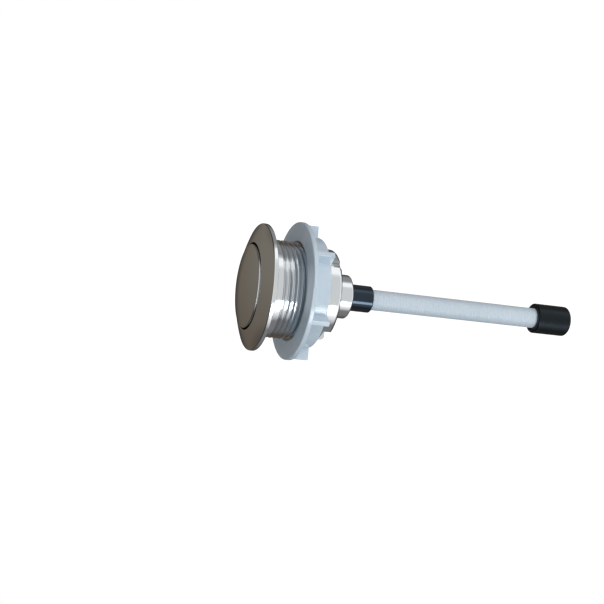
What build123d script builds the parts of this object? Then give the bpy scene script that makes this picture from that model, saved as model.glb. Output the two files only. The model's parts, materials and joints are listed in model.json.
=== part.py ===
from build123d import *
import math
import os

# Push button cistern actuator, in millimetres.
# The axis is Z and the button faces up. z = 0 is the top of the cistern lid, under the flange.

# Barrel: M40 x 2 outside thread
SHOULDER_R = 20.0
SHOULDER_LENGTH = 2.5
THREAD_RELIEF = 0.25
THREAD_PITCH = 2.0
THREAD_LENGTH = 19.8
FLANK_ANGLE = 30.0
GROOVE_SPARE = 0.3
TAIL_LENGTH = 6.7
TAIL_STEP = 0.06
BARREL_WALL = 0.96
END_WALL = 5.0

# Flange and the dome, which the button repeats a little higher
FLANGE_OVERHANG = 5.6
FLANGE_EDGE = 1.8
FLANGE_ROUND = 0.5
DOME_R = 60.0

# Neck that guides the plunger
NECK_WALL = 3.42
NECK_LENGTH = 8.2
NECK_ROUND = 0.9
TAIL_ROUND = 1.6

# Cut-outs in the tail's rim: a flat facing -X with a key across it, and a pair of narrow notches
FLAT_DISTANCE = 15.1
KEY_WIDTH = 2.0
NOTCH_WIDTH = 4.0
NOTCH_DEPTH = 2.0
CUT_LENGTH = 3.8
NOTCH_ANGLE = 49.0

# Button
PRESS_TRAVEL = 8.0
BUTTON_GAP = 0.65
BUTTON_PROUD = 0.25
BUTTON_SKIRT = 5.4
BUTTON_WALL = 1.6
BUTTON_ROOF = 1.8
BUTTON_ROUND = 0.35
BUTTON_SEAT = 1.2
LIP_ROUND = 0.3
STOP_CLEARANCE = 1.0

# Ledge in the barrel and the plunger's snap legs
LEDGE_WIDTH = 2.5
LEDGE_THICKNESS = 2.0
LEG_COUNT = 3
LEG_ARC = 28.0
LEG_THICKNESS = 1.5
LEG_CLEARANCE = 0.2
HOOK_REACH = 1.1
HOOK_HEIGHT = 1.6
HOOK_GAP = 0.05
HOOK_CLEARANCE = 0.4

# Plunger
PLATE_THICKNESS = 2.0
PLATE_LIFT = 0.6
PLATE_CLEARANCE = 0.25
STEM_WALL = 1.15
STEM_CLEARANCE = 0.08
STEM_REACH = 10.2
STEM_WEB = 4.0
STEM_ROUND = 0.5
SPIGOT_HEIGHT = 2.0
SPIGOT_CLEARANCE = 0.3

# Return spring
SPRING_R = 8.0
WIRE_R = 0.6
SPRING_TURNS = 6.0
SPRING_GAP = 0.1

# Screw that holds the plunger to the button
SCREW_R = 1.5
SCREW_CLEARANCE = 0.1
SCREW_HEAD_R = 3.0
SCREW_HEAD_HEIGHT = 2.0
SCREW_GRIP = 2.6
SLOT_WIDTH = 0.9
SLOT_DEPTH = 0.9
BOSS_WALL = 2.9
PILOT_CLEARANCE = 0.05
PILOT_SPARE = 0.4

# Rod and its rubber cap
ROD_R = 4.3
ROD_LENGTH = 106.5
ROD_ENGAGEMENT = 17.4
ROD_CLEARANCE = 0.05
ROD_CHAMFER = 0.5
CAP_WALL = 2.05
CAP_LENGTH = 15.7
CAP_FLOOR = 2.4
CAP_FLOOR_GAP = 0.1
CAP_MOUTH_ROUND = 0.7
CAP_END_ROUND = 1.2

# Back nut
NUT_CLEARANCE = 0.08
NUT_DROP = 13.36
DISC_THICKNESS = 2.0
DISC_OVERHANG = 5.5
DISC_ROUND = 0.4
HUB_WALL = 2.67
HUB_LENGTH = 9.3
HUB_ROUND = 0.8
NUT_CHAMFER = 0.6
FIN_COUNT = 6
FIN_THICKNESS = 2.2
FIN_REACH = 4.8
FIN_LENGTH = 9.2
FIN_ANGLE = 3.0
FIN_ROUND = 0.4

# Metric thread form, in pitches
THREAD_DEPTH_SHARE = 0.6134
THREAD_CREST_SHARE = 0.125

# Radii that follow
thread_r = SHOULDER_R - THREAD_RELIEF
thread_depth = THREAD_DEPTH_SHARE * THREAD_PITCH
tail_r = thread_r - thread_depth - TAIL_STEP
flange_r = SHOULDER_R + FLANGE_OVERHANG
button_bore = tail_r - BARREL_WALL
button_r = button_bore - BUTTON_GAP
skirt_bore = button_r - BUTTON_WALL
ledge_r = button_bore - LEDGE_WIDTH
hook_r = ledge_r + HOOK_REACH
barrel_bore = hook_r + HOOK_CLEARANCE
rod_bore = ROD_R + ROD_CLEARANCE
stem_r = rod_bore + STEM_WALL
neck_bore = stem_r + STEM_CLEARANCE
neck_r = neck_bore + NECK_WALL
pilot_r = SCREW_R + PILOT_CLEARANCE
boss_r = pilot_r + BOSS_WALL
nut_bore = thread_r + NUT_CLEARANCE
hub_r = nut_bore + HUB_WALL
disc_r = hub_r + DISC_OVERHANG


def dome_height(radius, sphere):
    """Height of a sphere's cap above its centre at a radius."""
    return math.sqrt(sphere**2 - radius**2)


# Heights that follow, from the button down
dome_centre = FLANGE_EDGE - dome_height(flange_r, DOME_R)
button_centre = dome_centre + BUTTON_PROUD
roof_sphere = DOME_R - BUTTON_ROOF
skirt_end = button_centre + dome_height(button_r, DOME_R) - BUTTON_SKIRT
plate_base = skirt_end + PLATE_LIFT
plate_top = plate_base + PLATE_THICKNESS
ledge_top = skirt_end - PRESS_TRAVEL - STOP_CLEARANCE
ledge_base = ledge_top - LEDGE_THICKNESS
thread_end = -SHOULDER_LENGTH - THREAD_LENGTH
barrel_end = thread_end - TAIL_LENGTH
floor_top = barrel_end + END_WALL
neck_end = barrel_end - NECK_LENGTH
stem_end = neck_end - STEM_REACH
web_base = plate_top - STEM_WEB
rod_top = stem_end + ROD_ENGAGEMENT
rod_end = rod_top - ROD_LENGTH
cap_end = rod_end - CAP_FLOOR_GAP - CAP_FLOOR
cap_mouth = cap_end + CAP_LENGTH
disc_base = -NUT_DROP - DISC_THICKNESS
hub_base = -NUT_DROP - HUB_LENGTH
fin_base = -NUT_DROP - FIN_LENGTH


def turned(*lines):
    """Solid of revolution about Z from a closed half profile in the XZ plane."""
    profile = Plane.XZ * make_face(Curve() + list(lines))
    return revolve(profile, Axis.Z)


def dome_arc(start_r, end_r, sphere, centre):
    """Arc of a dome between two radii, in the half profile."""
    radii = (start_r, (start_r + end_r) / 2, end_r)
    return ThreePointArc(*[(r, centre + dome_height(r, sphere)) for r in radii])


def rings(solid, radius, z):
    """Round edges of a solid at a radius and height about Z."""
    circles = solid.edges().filter_by(GeomType.CIRCLE)
    return [e for e in circles if abs(e.radius - radius) < 1e-4 and abs(e.arc_center.Z - z) < 1e-4]


def rod(radius, base, top):
    """Round bar between two heights."""
    return Pos(0, 0, base) * extrude(Circle(radius), top - base)


def thread_groove():
    """Helical groove, from past the thread's free end up to the shoulder."""
    slope = math.tan(math.radians(FLANK_ANGLE))
    crest_half = (1 - THREAD_CREST_SHARE) * THREAD_PITCH / 2
    root_half = crest_half - thread_depth * slope
    mouth_half = crest_half + GROOVE_SPARE * slope
    length = THREAD_LENGTH - mouth_half + THREAD_PITCH
    path = Pos(0, 0, thread_end - THREAD_PITCH) * Helix(THREAD_PITCH, length, thread_r)
    section = Plane(path @ 0, x_dir=(1, 0, 0), z_dir=path % 0)
    outline = Polygon(
        (-thread_depth, -root_half),
        (GROOVE_SPARE, -mouth_half),
        (GROOVE_SPARE, mouth_half),
        (-thread_depth, root_half),
        align=None,
    )
    return sweep(section * outline, path=path, is_frenet=True)


def tail_cuts():
    """Flats beside the key, and notches, in the rim of the barrel's tail."""
    flat = Pos(-FLAT_DISTANCE, KEY_WIDTH / 2, barrel_end) * Box(
        tail_r, tail_r, CUT_LENGTH, align=(Align.MAX, Align.MIN, Align.MIN)
    )
    notch = Pos(tail_r - NOTCH_DEPTH, 0, barrel_end) * Box(
        tail_r, NOTCH_WIDTH, CUT_LENGTH, align=(Align.MIN, Align.CENTER, Align.MIN)
    )
    notches = [Rot(0, 0, side * NOTCH_ANGLE) * notch for side in (-1, 1)]
    return [flat, mirror(flat, Plane.XZ)] + notches


def bezel_body():
    """Flange, threaded barrel, tail, end wall and neck in one chromed piece."""
    lip_z = dome_centre + dome_height(button_bore, DOME_R)
    run_out = thread_end - (thread_r - tail_r)
    walls = Polyline(
        (flange_r, FLANGE_EDGE),
        (flange_r, 0),
        (SHOULDER_R, 0),
        (SHOULDER_R, -SHOULDER_LENGTH),
        (thread_r, -SHOULDER_LENGTH),
        (thread_r, thread_end),
        (tail_r, run_out),
        (tail_r, barrel_end),
        (neck_r, barrel_end),
        (neck_r, neck_end),
        (neck_bore, neck_end),
        (neck_bore, floor_top),
        (barrel_bore, floor_top),
        (barrel_bore, ledge_base),
        (ledge_r, ledge_base),
        (ledge_r, ledge_top),
        (button_bore, ledge_top),
        (button_bore, lip_z),
    )
    body = turned(dome_arc(button_bore, flange_r, DOME_R, dome_centre), walls)
    body = fillet(rings(body, flange_r, FLANGE_EDGE) + rings(body, flange_r, 0), FLANGE_ROUND)
    body = fillet(rings(body, button_bore, lip_z), LIP_ROUND)
    body = fillet(rings(body, tail_r, barrel_end), TAIL_ROUND)
    body = fillet(rings(body, neck_r, neck_end), NECK_ROUND)
    return body - thread_groove() - tail_cuts()


def push_button():
    """Domed cap with a skirt, a seat for the plunger's plate and a screw boss."""
    seat_r = skirt_bore - BUTTON_SEAT
    pilot_top = plate_top + SCREW_GRIP + PILOT_SPARE
    dome = dome_arc(0, button_r, DOME_R, button_centre)
    skirt = Polyline(
        dome @ 1,
        (button_r, skirt_end),
        (skirt_bore, skirt_end),
        (skirt_bore, plate_top),
        (seat_r, plate_top),
        (seat_r, button_centre + dome_height(seat_r, roof_sphere)),
    )
    roof = dome_arc(seat_r, boss_r, roof_sphere, button_centre)
    boss = Polyline(
        roof @ 1,
        (boss_r, plate_top),
        (pilot_r, plate_top),
        (pilot_r, pilot_top),
        (0, pilot_top),
        dome @ 0,
    )
    cap = turned(dome, skirt, roof, boss)
    return fillet(rings(cap, button_r, (dome @ 1).Y), BUTTON_ROUND)


def snap_leg():
    """One sprung leg of the plunger, with its hook under the ledge."""
    outer = ledge_r - LEG_CLEARANCE
    inner = outer - LEG_THICKNESS
    hook_top = ledge_base - HOOK_GAP
    toe = hook_top - HOOK_HEIGHT
    outline = Polyline(
        (inner, plate_base),
        (outer, plate_base),
        (outer, hook_top),
        (hook_r, hook_top),
        (outer, toe),
        (inner, toe),
        close=True,
    )
    return revolve(Plane.XZ * make_face(outline), Axis.Z, LEG_ARC)


def plunger():
    """Plate under the button, snap legs, and the hollow stem that takes the rod."""
    spigot_r = SPRING_R - WIRE_R - SPIGOT_CLEARANCE
    body = rod(skirt_bore - PLATE_CLEARANCE, plate_base, plate_top)
    body += rod(spigot_r, plate_base - SPIGOT_HEIGHT, plate_base)
    body += rod(stem_r, stem_end, plate_base)
    body += [Rot(0, 0, turn * 360 / LEG_COUNT) * snap_leg() for turn in range(LEG_COUNT)]
    body -= rod(rod_bore, stem_end, web_base)
    body -= rod(SCREW_R + SCREW_CLEARANCE, web_base, plate_top)
    return fillet(rings(body, stem_r, stem_end), STEM_ROUND)


def return_spring():
    """Compression spring from the end wall up to the plunger's plate."""
    low = floor_top + WIRE_R + SPRING_GAP
    high = plate_base - WIRE_R - SPRING_GAP
    height = high - low
    path = Pos(0, 0, low) * Helix(height / SPRING_TURNS, height, SPRING_R)
    section = Plane(path @ 0, z_dir=path % 0)
    return sweep(section * Circle(WIRE_R), path=path, is_frenet=True)


def button_screw():
    """Slotted screw up the stem, through its web and into the button's boss."""
    head_base = web_base - SCREW_HEAD_HEIGHT
    head = rod(SCREW_HEAD_R, head_base, web_base)
    shank = rod(SCREW_R, web_base, plate_top + SCREW_GRIP)
    slot = Pos(0, 0, head_base) * Box(
        3 * SCREW_HEAD_R, SLOT_WIDTH, SLOT_DEPTH, align=(Align.CENTER, Align.CENTER, Align.MIN)
    )
    return head + shank - slot


def threaded_rod():
    """Plastic rod, drawn at its outside diameter."""
    bar = rod(ROD_R, rod_end, rod_top)
    return chamfer(rings(bar, ROD_R, rod_end) + rings(bar, ROD_R, rod_top), ROD_CHAMFER)


def end_cap():
    """Rubber cap on the rod's lower end."""
    outer = rod_bore + CAP_WALL
    cap = rod(outer, cap_end, cap_mouth)
    cap = fillet(rings(cap, outer, cap_mouth), CAP_MOUTH_ROUND)
    cap = fillet(rings(cap, outer, cap_end), CAP_END_ROUND)
    return cap - rod(rod_bore, cap_end + CAP_FLOOR, cap_mouth)


def backnut():
    """Clamping disc and hub with finger fins, on the barrel."""
    disc = rod(disc_r, disc_base, -NUT_DROP)
    disc = fillet(rings(disc, disc_r, disc_base) + rings(disc, disc_r, -NUT_DROP), DISC_ROUND)
    hub = rod(hub_r, hub_base, disc_base)
    hub = fillet(rings(hub, hub_r, hub_base), HUB_ROUND)
    fin_height = disc_base - fin_base
    fin = Pos(0, 0, fin_base) * Box(
        hub_r + FIN_REACH, FIN_THICKNESS, fin_height, align=(Align.MIN, Align.CENTER, Align.MIN)
    )
    fin = fillet(fin.faces().sort_by(Axis.X)[-1].edges().filter_by(Axis.Z), FIN_ROUND)
    fins = [Rot(0, 0, FIN_ANGLE + step * 360 / FIN_COUNT) * fin for step in range(FIN_COUNT)]
    nut = disc + hub + fins - rod(nut_bore, hub_base, -NUT_DROP)
    return chamfer(rings(nut, nut_bore, hub_base) + rings(nut, nut_bore, -NUT_DROP), NUT_CHAMFER)


PIECES = (
    bezel_body,
    push_button,
    plunger,
    return_spring,
    button_screw,
    threaded_rod,
    end_cap,
    backnut,
)

os.makedirs("parts", exist_ok=True)
for piece in PIECES:
    export_step(piece(), f"parts/{piece.__name__}.step")
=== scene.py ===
import json
import math

import bmesh
import bpy
from mathutils import Matrix, Vector


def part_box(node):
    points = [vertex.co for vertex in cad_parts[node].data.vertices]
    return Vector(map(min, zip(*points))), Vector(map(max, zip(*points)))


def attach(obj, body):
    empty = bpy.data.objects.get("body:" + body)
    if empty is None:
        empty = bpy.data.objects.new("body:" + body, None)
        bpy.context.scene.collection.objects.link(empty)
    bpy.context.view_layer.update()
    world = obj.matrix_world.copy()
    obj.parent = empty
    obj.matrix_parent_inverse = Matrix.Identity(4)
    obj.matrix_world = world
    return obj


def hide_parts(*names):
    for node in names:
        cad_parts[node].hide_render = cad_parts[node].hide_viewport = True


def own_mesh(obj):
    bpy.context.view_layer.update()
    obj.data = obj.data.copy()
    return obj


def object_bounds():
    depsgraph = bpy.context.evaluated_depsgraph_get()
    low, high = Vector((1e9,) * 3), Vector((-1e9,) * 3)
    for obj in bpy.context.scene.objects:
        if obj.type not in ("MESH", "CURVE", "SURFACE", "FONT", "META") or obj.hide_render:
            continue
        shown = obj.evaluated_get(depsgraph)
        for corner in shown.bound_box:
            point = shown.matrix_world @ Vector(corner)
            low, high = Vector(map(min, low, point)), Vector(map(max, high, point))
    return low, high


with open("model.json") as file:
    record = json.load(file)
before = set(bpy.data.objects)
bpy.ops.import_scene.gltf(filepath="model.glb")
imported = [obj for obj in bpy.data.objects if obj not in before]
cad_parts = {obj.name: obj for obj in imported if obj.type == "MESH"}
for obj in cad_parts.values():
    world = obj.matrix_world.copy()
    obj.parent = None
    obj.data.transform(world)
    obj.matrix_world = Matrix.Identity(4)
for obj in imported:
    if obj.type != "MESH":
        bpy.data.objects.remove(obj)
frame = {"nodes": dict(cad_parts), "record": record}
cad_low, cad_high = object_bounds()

MM = 0.001
X_AXIS = (1, 0, 0)
Z_AXIS = (0, 0, 1)
WHITE = (1.0, 1.0, 1.0)
BLACK = (0.0, 0.0, 0.0)

# Camera, in metres: where it stands, the point at the picture's centre and the direction that is up there
CAMERA_PLACE = (-0.0198, -0.4616, 0.1319)
CAMERA_AIM = (-0.0042, -0.0053, -0.0167)
CAMERA_UP = (0.9945, 0.0, 0.1043)
CAMERA_LENS = 71.5
SENSOR_WIDTH = 36.0

# Floor, which lies below the cards, and the light of the background
FLOOR_DROP = 0.65
FLOOR_SIZE = 8.0
FLOOR_COLOUR = (0.8, 0.8, 0.8, 1.0)
FLOOR_GLOW = 0.75
AMBIENT_COLOUR = (0.95, 0.975, 1.0, 1.0)
AMBIENT_STRENGTH = 0.48

# Cards round the object that its polished faces mirror: one behind it and one before it.
# The white background shows in the ring between them. Places on a card are shares of its radius.
CARD_RADIUS = 0.75
CARD_DETAIL = 6
CARD_END = 1.1
WINDOW = (0.148, -0.94, -0.307)
RING_BACK = 0.5
RING_FRONT = 0.743

# Edges of the cards, which are paler towards the ring
FADE_AXIS = (0.05, -0.94, -0.307)
BACK_FADE = 0.3
FRONT_FADE = 0.1
EDGE_COLOUR = (0.95, 0.95, 0.95)
FRONT_COLOUR = (0.725, 0.73, 0.725)

# Shades of the back card from its -X side to its +X side
BEHIND_COLOUR = (0.05, 0.045, 0.04)
BROWN = (0.11, 0.098, 0.08)
BACK_SHADES = (
    (0.05, (0.21, 0.21, 0.215)),
    (0.2, BROWN),
    (0.5, BEHIND_COLOUR),
    (0.8, BROWN),
    (0.93, (0.28, 0.285, 0.29)),
)

# Brown roof of the back card, which the dome mirrors: where it starts, its sides and its lighter end
ROOF_START = (-0.05, 0.22)
ROOF_SIDES = ((0.28, BLACK), (0.36, WHITE), (0.69, WHITE), (0.75, BLACK))
ROOF_LIGHT = (0.8, 0.0, 0.6)
ROOF_REACH = (-0.1, 0.65)
ROOF_SHADES = ((0, (0.128, 0.102, 0.08)), (1, (0.205, 0.183, 0.149)))

# Lamps: direction from the object, distance, size and power
KEY_DIRECTION = (-0.6, -0.74, -0.31)
KEY_DISTANCE = 0.6
KEY_SIZE = (0.28, 0.2)
KEY_POWER = 1.1
KEY_COLOUR = (0.9, 0.96, 1.0)
FILL_DIRECTION = (0.45, -0.85, -0.28)
FILL_DISTANCE = 0.6
FILL_SIZE = (0.5, 0.35)
FILL_POWER = 1.4

# Noise values between which a finish goes from its low to its high end
NOISE_LOW = 0.3
NOISE_HIGH = 0.7

# Where a ramp's further stops are made, before each gets its own position
RAMP_MIDDLE = 0.5

# Cool sheen of the black pieces
STEM_SHEEN = (0.55, 0.77, 1.0, 1.0)
TIP_SHEEN = (0.68, 0.86, 1.0, 1.0)

# Painted shade in the recesses of the barrel. Each limit runs from just outside to just inside.
ROOT_SHADE_COLOUR = (0.6, 0.625, 0.65)
ROOT_CREST = (19.05 * MM, 18.6 * MM)
ROOT_WALL = (18.0 * MM, 18.2 * MM)
ROOT_TOP = (-2.8 * MM, -3.2 * MM)
ROOT_FOOT = (-22.2 * MM, -21.8 * MM)
NOTCH_SHADE_COLOUR = (0.5, 0.52, 0.53)
NOTCH_RADIUS = (17.1 * MM, 16.7 * MM)
NOTCH_TOP = (-24.9 * MM, -25.15 * MM)
NOTCH_FOOT = (-28.95 * MM, -28.8 * MM)
NOTCH_SIDE = (0.0, 1.0 * MM)

# Return spring
SPRING_TURNS = 6
SPRING_WIRE_R = 0.6 * MM
SPRING_SEGMENTS = 40
WIRE_SEGMENTS = 12

# Fine thread of the rod. It runs out over a number of pitches at each end.
ROD_PITCH = 1.25 * MM
ROD_THREAD_DEPTH = 0.1 * MM
ROD_SEGMENTS = 48
ROD_STEPS = 10
ROD_RUN_OUT = 1.5
MERGE_DISTANCE = 0.001 * MM


def box_ends(node):
    """Radius, lowest height and highest height of a round CAD node."""
    low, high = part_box(node)
    return high.x, low.z, high.z


def new_object(name, mesh_data, material):
    """Smooth object from a bmesh, with one material."""
    mesh = bpy.data.meshes.new(name)
    bmesh.ops.recalc_face_normals(mesh_data, faces=mesh_data.faces)
    for face in mesh_data.faces:
        face.smooth = True
    mesh_data.to_mesh(mesh)
    mesh_data.free()
    mesh.materials.append(material)
    piece = bpy.data.objects.new(name, mesh)
    bpy.context.collection.objects.link(piece)
    return piece


class Shading:
    """Node tree of a material or a world, with short ways to add and join nodes."""

    def __init__(self, owner):
        owner.use_nodes = True
        self.owner = owner
        self.tree = owner.node_tree
        self.tree.nodes.clear()

    def add(self, kind, sockets, **settings):
        """New node. A socket takes a value, or is joined to another node's output."""
        node = self.tree.nodes.new("ShaderNode" + kind)
        for name, value in settings.items():
            setattr(node, name, value)
        for name, value in sockets.items():
            if isinstance(value, bpy.types.NodeSocket):
                self.tree.links.new(value, node.inputs[name])
            else:
                node.inputs[name].default_value = value
        return node

    def place(self):
        """Coordinates in the object's own space."""
        return self.add("TexCoord", {}).outputs["Object"]

    def combine(self, operation, values):
        """One number from several, two at a time."""
        total = values[0]
        for value in values[1:]:
            total = self.add("Math", {0: total, 1: value}, operation=operation).outputs[0]
        return total

    def spread(self, source, source_range, result_range):
        """A value mapped from one range to another, and held at its ends."""
        sockets = {"Value": source}
        sockets["From Min"], sockets["From Max"] = source_range
        sockets["To Min"], sockets["To Max"] = result_range
        return self.add("MapRange", sockets).outputs["Result"]

    def ramp(self, source, *stops):
        """Colour ramp with (position, colour) stops."""
        node = self.add("ValToRGB", {"Fac": source})
        ends = node.color_ramp.elements
        while len(ends) < len(stops):
            ends.new(RAMP_MIDDLE)
        for end, (position, colour) in zip(ends, stops):
            end.position = position
            end.color = (*colour, 1.0)
        return node.outputs["Color"]

    def blend(self, share, first, second):
        """Colour between two others, on the node's sockets for colours."""
        node = self.add("Mix", {0: share, 6: first, 7: second}, data_type="RGBA")
        return node.outputs[2]

    def seen_directly(self):
        """1 for rays that show the background: from the camera, off a mirror or through glass."""
        path = self.add("LightPath", {}).outputs
        names = ("Is Camera Ray", "Is Glossy Ray", "Is Transmission Ray")
        return self.combine("MAXIMUM", [path[name] for name in names])


class Finish(Shading):
    """A surface made from noise in object space."""

    def __init__(self, name, **sockets):
        super().__init__(bpy.data.materials.new(name))
        plain = {socket.replace("_", " "): value for socket, value in sockets.items()}
        self.shader = self.add("BsdfPrincipled", plain)
        self.add("OutputMaterial", {"Surface": self.shader.outputs[0]})

    def noise(self, grain, detail=3.0, stretch=(1, 1, 1)):
        """Noise with a grain in metres, stretched along the axes."""
        place = self.add("Mapping", {"Vector": self.place(), "Scale": stretch}).outputs["Vector"]
        return self.add("TexNoise", {"Vector": place, "Scale": 1 / grain, "Detail": detail}).outputs["Fac"]

    def join(self, socket, output):
        """Join an output to one of the shader's sockets."""
        self.tree.links.new(output, self.shader.inputs[socket])

    def shades(self, noise, dark, light):
        """Colour between two others, by noise."""
        return self.ramp(noise, (NOISE_LOW, dark), (NOISE_HIGH, light))

    def colour(self, noise, dark, light):
        """Base colour between two others, by noise."""
        self.join("Base Color", self.shades(noise, dark, light))

    def roughness(self, noise, low, high):
        """Roughness between two values, by noise."""
        self.join("Roughness", self.spread(noise, (NOISE_LOW, NOISE_HIGH), (low, high)))

    def bump(self, noise, height):
        """Bump with a height in metres."""
        node = self.add("Bump", {"Height": noise, "Distance": height})
        self.join("Normal", node.outputs["Normal"])


def within(finish, limits):
    """1 where every value is inside its limit, and 0 where one of them is outside."""
    return finish.combine("MULTIPLY", [finish.spread(value, limit, (0, 1)) for value, limit in limits])


def paint_recess_shade(finish, plain):
    """A colour with painted shade, darker in the roots of the thread and on the floors of the notches."""
    place = finish.place()
    flat = finish.add("VectorMath", {0: place, 1: (1, 1, 0)}, operation="MULTIPLY").outputs["Vector"]
    radius = finish.add("VectorMath", {0: flat}, operation="LENGTH").outputs["Value"]
    parts = finish.add("SeparateXYZ", {"Vector": place}).outputs
    side = parts["X"]
    height = parts["Z"]
    roots = [(radius, ROOT_CREST), (radius, ROOT_WALL), (height, ROOT_TOP), (height, ROOT_FOOT)]
    floors = [(radius, NOTCH_RADIUS), (height, NOTCH_TOP), (height, NOTCH_FOOT), (side, NOTCH_SIDE)]
    # Painted shade: the thread roots and the notch floors take darker colours.
    threaded = finish.blend(within(finish, roots), plain, (*ROOT_SHADE_COLOUR, 1.0))
    return finish.blend(within(finish, floors), threaded, (*NOTCH_SHADE_COLOUR, 1.0))


def chrome():
    """Polished plating, with faint waves, a soft haze and painted shade in its recesses."""
    finish = Finish("chrome_plating", Metallic=1.0)
    plain = finish.shades(finish.noise(grain=9 * MM), dark=(0.765, 0.79, 0.81), light=(0.8, 0.825, 0.845))
    finish.join("Base Color", paint_recess_shade(finish, plain))
    finish.roughness(finish.noise(grain=1.4 * MM, detail=5.0), low=0.07, high=0.13)
    finish.bump(finish.noise(grain=3.5 * MM, detail=2.0), height=0.006 * MM)
    return finish.owner


def nut_plastic():
    """Light blue grey moulding, satin, a little translucent."""
    finish = Finish("nut_moulding", Subsurface_Weight=0.08, Subsurface_Scale=1.2 * MM, Specular_IOR_Level=0.7)
    clouds = finish.noise(grain=6 * MM, detail=4.0)
    finish.colour(clouds, dark=(0.55, 0.64, 0.72), light=(0.59, 0.68, 0.76))
    finish.roughness(finish.noise(grain=0.8 * MM, detail=4.0), low=0.14, high=0.2)
    finish.bump(finish.noise(grain=0.5 * MM), height=0.006 * MM)
    return finish.owner


def rod_plastic():
    """Pale blue grey moulding of the rod."""
    finish = Finish("rod_moulding", Subsurface_Weight=0.1, Subsurface_Scale=1.0 * MM)
    clouds = finish.noise(grain=8 * MM, detail=2.0)
    finish.colour(clouds, dark=(0.555, 0.63, 0.695), light=(0.58, 0.655, 0.72))
    finish.roughness(finish.noise(grain=0.7 * MM, detail=4.0), low=0.38, high=0.5)
    finish.bump(finish.noise(grain=0.8 * MM, detail=2.0), height=0.001 * MM)
    return finish.owner


def black_plastic():
    """Glossy black moulding of the plunger."""
    finish = Finish("black_moulding", Specular_IOR_Level=0.77, Specular_Tint=STEM_SHEEN)
    finish.colour(finish.noise(grain=4 * MM), dark=(0.002, 0.003, 0.005), light=(0.004, 0.005, 0.007))
    finish.roughness(finish.noise(grain=0.9 * MM, detail=4.0), low=0.06, high=0.12)
    finish.bump(finish.noise(grain=2.2 * MM, detail=2.0), height=0.01 * MM)
    return finish.owner


def tip_rubber():
    """Satin black rubber with a fine moulded grain."""
    finish = Finish("tip_rubber", Specular_IOR_Level=0.3, Specular_Tint=TIP_SHEEN)
    clouds = finish.noise(grain=3 * MM, detail=4.0)
    finish.colour(clouds, dark=(0.002, 0.003, 0.004), light=(0.005, 0.006, 0.007))
    finish.roughness(finish.noise(grain=0.6 * MM, detail=5.0), low=0.26, high=0.36)
    finish.bump(finish.noise(grain=0.3 * MM, detail=4.0), height=0.015 * MM)
    return finish.owner


def steel():
    """Drawn steel, with streaks round the axis."""
    finish = Finish("drawn_steel", Metallic=1.0)
    streaks = finish.noise(grain=0.6 * MM, detail=4.0, stretch=(0.2, 0.2, 3.0))
    finish.colour(finish.noise(grain=2 * MM), dark=(0.48, 0.48, 0.49), light=(0.58, 0.58, 0.59))
    finish.roughness(streaks, low=0.24, high=0.4)
    finish.bump(streaks, height=0.006 * MM)
    return finish.owner


def finish_nodes():
    """Procedural finish on every CAD node."""
    finishes = {
        "chrome": chrome(),
        "black_plastic": black_plastic(),
        "steel": steel(),
        "rod_plastic": rod_plastic(),
        "tip_rubber": tip_rubber(),
        "nut_plastic": nut_plastic(),
    }
    for part in frame["record"]["subparts"]:
        for slot in frame["nodes"][part["node"]].material_slots:
            slot.material = finishes[part["material_slot"]]
    return finishes


def tube_along(points, tangents, radius, segments):
    """Round tube through points, with flat ends."""
    mesh_data = bmesh.new()
    rings = []
    for point, tangent in zip(points, tangents):
        side = Vector((point.x, point.y, 0)).normalized()
        across = tangent.cross(side).normalized()
        turns = [2 * math.pi * step / segments for step in range(segments)]
        offsets = [side * math.cos(turn) + across * math.sin(turn) for turn in turns]
        rings.append([mesh_data.verts.new(point + offset * radius) for offset in offsets])
    for ring, following in zip(rings, rings[1:]):
        for step in range(segments):
            other = (step + 1) % segments
            mesh_data.faces.new((ring[step], ring[other], following[other], following[step]))
    mesh_data.faces.new(rings[0])
    mesh_data.faces.new(rings[-1])
    return mesh_data


def return_spring(material):
    """Coil spring in the barrel."""
    outer, low, high = box_ends("return_spring")
    radius = outer - SPRING_WIRE_R
    base = low + SPRING_WIRE_R
    rise = high - low - 2 * SPRING_WIRE_R
    slope = rise / (2 * math.pi * SPRING_TURNS)
    steps = SPRING_TURNS * SPRING_SEGMENTS
    points = []
    tangents = []
    for step in range(steps + 1):
        turn = 2 * math.pi * step / SPRING_SEGMENTS
        points.append(Vector((radius * math.cos(turn), radius * math.sin(turn), base + rise * step / steps)))
        tangents.append(Vector((-radius * math.sin(turn), radius * math.cos(turn), slope)).normalized())
    coil = new_object("coil_spring", tube_along(points, tangents, SPRING_WIRE_R, WIRE_SEGMENTS), material)
    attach(coil, "body")
    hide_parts("return_spring")
    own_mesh(coil)


def thread_crest(share):
    """Height of the rounded thread at a share of its pitch, from 0 to 1."""
    return 0.5 - 0.5 * math.cos(2 * math.pi * share)


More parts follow.
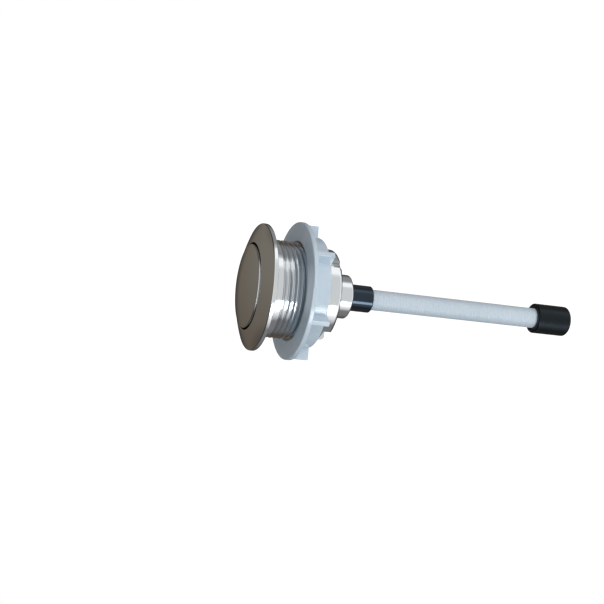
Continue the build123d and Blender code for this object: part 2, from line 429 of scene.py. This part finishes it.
def threaded_rod(material):
    """Push rod with its fine right-hand thread, which runs out at both ends."""
    outer, low, high = box_ends("threaded_rod")
    root = outer - ROD_THREAD_DEPTH
    rows = math.ceil((high - low) / ROD_PITCH + 1) * ROD_STEPS
    mesh_data = bmesh.new()
    grid = []
    for row in range(rows + 1):
        ring = []
        for step in range(ROD_SEGMENTS + 1):
            height = low + ROD_PITCH * (row / ROD_STEPS + step / ROD_SEGMENTS - 1)
            height = min(max(height, low), high)
            room = min(height - low, high - height) / (ROD_RUN_OUT * ROD_PITCH)
            radius = root + ROD_THREAD_DEPTH * thread_crest(row / ROD_STEPS) * min(room, 1.0)
            turn = 2 * math.pi * step / ROD_SEGMENTS
            ring.append(mesh_data.verts.new((radius * math.cos(turn), radius * math.sin(turn), height)))
        grid.append(ring)
    for ring, following in zip(grid, grid[1:]):
        for step in range(ROD_SEGMENTS):
            corners = (ring[step], ring[step + 1], following[step + 1], following[step])
            mesh_data.faces.new(corners)
    bmesh.ops.remove_doubles(mesh_data, verts=mesh_data.verts, dist=MERGE_DISTANCE)
    bmesh.ops.holes_fill(mesh_data, edges=mesh_data.edges)
    bar = new_object("rod_with_thread", mesh_data, material)
    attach(bar, "rod")
    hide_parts("threaded_rod")


def white_world():
    """White background, with a softer light on the object."""
    world = bpy.data.worlds.new("studio")
    shading = Shading(world)
    ambient = shading.add("Background", {"Color": AMBIENT_COLOUR, "Strength": AMBIENT_STRENGTH})
    white = shading.add("Background", {"Color": (*WHITE, 1.0)})
    sockets = {0: shading.seen_directly(), 1: ambient.outputs[0], 2: white.outputs[0]}
    mix = shading.add("MixShader", sockets)
    shading.add("OutputWorld", {"Surface": mix.outputs[0]})
    bpy.context.scene.world = world


def floor():
    """Pale floor below the tip. It takes the shadow, and glows only where it is looked at."""
    shading = Shading(bpy.data.materials.new("pale_floor"))
    strength = shading.spread(shading.seen_directly(), (0, 1), (0, FLOOR_GLOW))
    glow = shading.add("Emission", {"Strength": strength})
    matt = shading.add("BsdfDiffuse", {"Color": FLOOR_COLOUR})
    both = shading.add("AddShader", {0: matt.outputs[0], 1: glow.outputs[0]})
    shading.add("OutputMaterial", {"Surface": both.outputs[0]})
    mesh_data = bmesh.new()
    bmesh.ops.create_grid(mesh_data, x_segments=1, y_segments=1, size=FLOOR_SIZE / 2)
    plane = new_object("floor", mesh_data, shading.owner)
    plane.location.z = cad_low.z - FLOOR_DROP


def along(shading, direction, low, high):
    """0 to 1 between two shares of the card's radius along a direction."""
    node = shading.add("VectorMath", {0: shading.place(), 1: direction}, operation="DOT_PRODUCT")
    return shading.spread(node.outputs["Value"], (low * CARD_RADIUS, high * CARD_RADIUS), (0, 1))


def back_material():
    """Grey at the sides, dark behind, brown above and pale at the ring."""
    shading = Shading(bpy.data.materials.new("back_card"))
    across = along(shading, X_AXIS, -1, 1)
    sides = shading.ramp(across, *BACK_SHADES)
    roof = shading.ramp(along(shading, ROOF_LIGHT, *ROOF_REACH), *ROOF_SHADES)
    roof = shading.blend(shading.ramp(across, *ROOF_SIDES), (*BEHIND_COLOUR, 1.0), roof)
    body = shading.blend(along(shading, Z_AXIS, *ROOF_START), sides, roof)
    fade = along(shading, FADE_AXIS, RING_BACK - BACK_FADE, RING_BACK)
    glow = shading.add("Emission", {"Color": shading.blend(fade, body, (*EDGE_COLOUR, 1.0))})
    shading.add("OutputMaterial", {"Surface": glow.outputs[0]})
    return shading.owner


def front_material():
    """Light grey, and pale at the ring."""
    shading = Shading(bpy.data.materials.new("front_card"))
    fade = along(shading, WINDOW, RING_FRONT, RING_FRONT + FRONT_FADE)
    glow = shading.add("Emission", {"Color": shading.ramp(fade, (0, EDGE_COLOUR), (1, FRONT_COLOUR))})
    shading.add("OutputMaterial", {"Surface": glow.outputs[0]})
    return shading.owner


def card(name, low, high, material):
    """Curved card between two shares of the radius along WINDOW, which only polished faces see."""
    mesh_data = bmesh.new()
    bmesh.ops.create_icosphere(mesh_data, subdivisions=CARD_DETAIL, radius=CARD_RADIUS)
    shares = {v: v.co.dot(Vector(WINDOW)) / CARD_RADIUS for v in mesh_data.verts}
    outside = [v for v, share in shares.items() if not low < share < high]
    bmesh.ops.delete(mesh_data, geom=outside, context="VERTS")
    shell = new_object(name, mesh_data, material)
    shell.visible_camera = False
    shell.visible_diffuse = False
    shell.visible_transmission = False
    shell.visible_volume_scatter = False
    shell.visible_shadow = False


def soft_light(name, direction, distance, size, power):
    """Soft rectangular light that faces the object from a direction."""
    data = bpy.data.lights.new(name, "AREA")
    data.shape = "RECTANGLE"
    data.size, data.size_y = size
    data.energy = power
    lamp = bpy.data.objects.new(name, data)
    back = Vector(direction).normalized()
    lamp.location = Vector(CAMERA_AIM) + back * distance
    lamp.rotation_euler = back.to_track_quat("Z", "X").to_euler()
    bpy.context.collection.objects.link(lamp)
    return lamp


def lights():
    """Key light from the lower front, and a broad fill that doesn't show in the plating."""
    key = soft_light("key_light", KEY_DIRECTION, KEY_DISTANCE, KEY_SIZE, KEY_POWER)
    key.data.color = KEY_COLOUR
    fill = soft_light("fill_light", FILL_DIRECTION, FILL_DISTANCE, FILL_SIZE, FILL_POWER)
    fill.visible_glossy = False


def camera():
    """Camera at the photograph's angle, turned so that the rod runs across the picture."""
    data = bpy.data.cameras.new("camera")
    data.lens = CAMERA_LENS
    data.sensor_width = SENSOR_WIDTH
    place = Vector(CAMERA_PLACE)
    back = (place - Vector(CAMERA_AIM)).normalized()
    right = Vector(CAMERA_UP).cross(back).normalized()
    up = back.cross(right)
    seat = Matrix((right, up, back)).transposed().to_4x4()
    seat.translation = place
    viewer = bpy.data.objects.new("camera", data)
    viewer.matrix_world = seat
    bpy.context.collection.objects.link(viewer)
    bpy.context.scene.camera = viewer


finishes = finish_nodes()
return_spring(finishes["steel"])
threaded_rod(finishes["rod_plastic"])
white_world()
floor()
card("back_card", -CARD_END, RING_BACK, back_material())
card("front_card", RING_FRONT, CARD_END, front_material())
lights()
camera()
bpy.context.scene.view_settings.view_transform = "Standard"
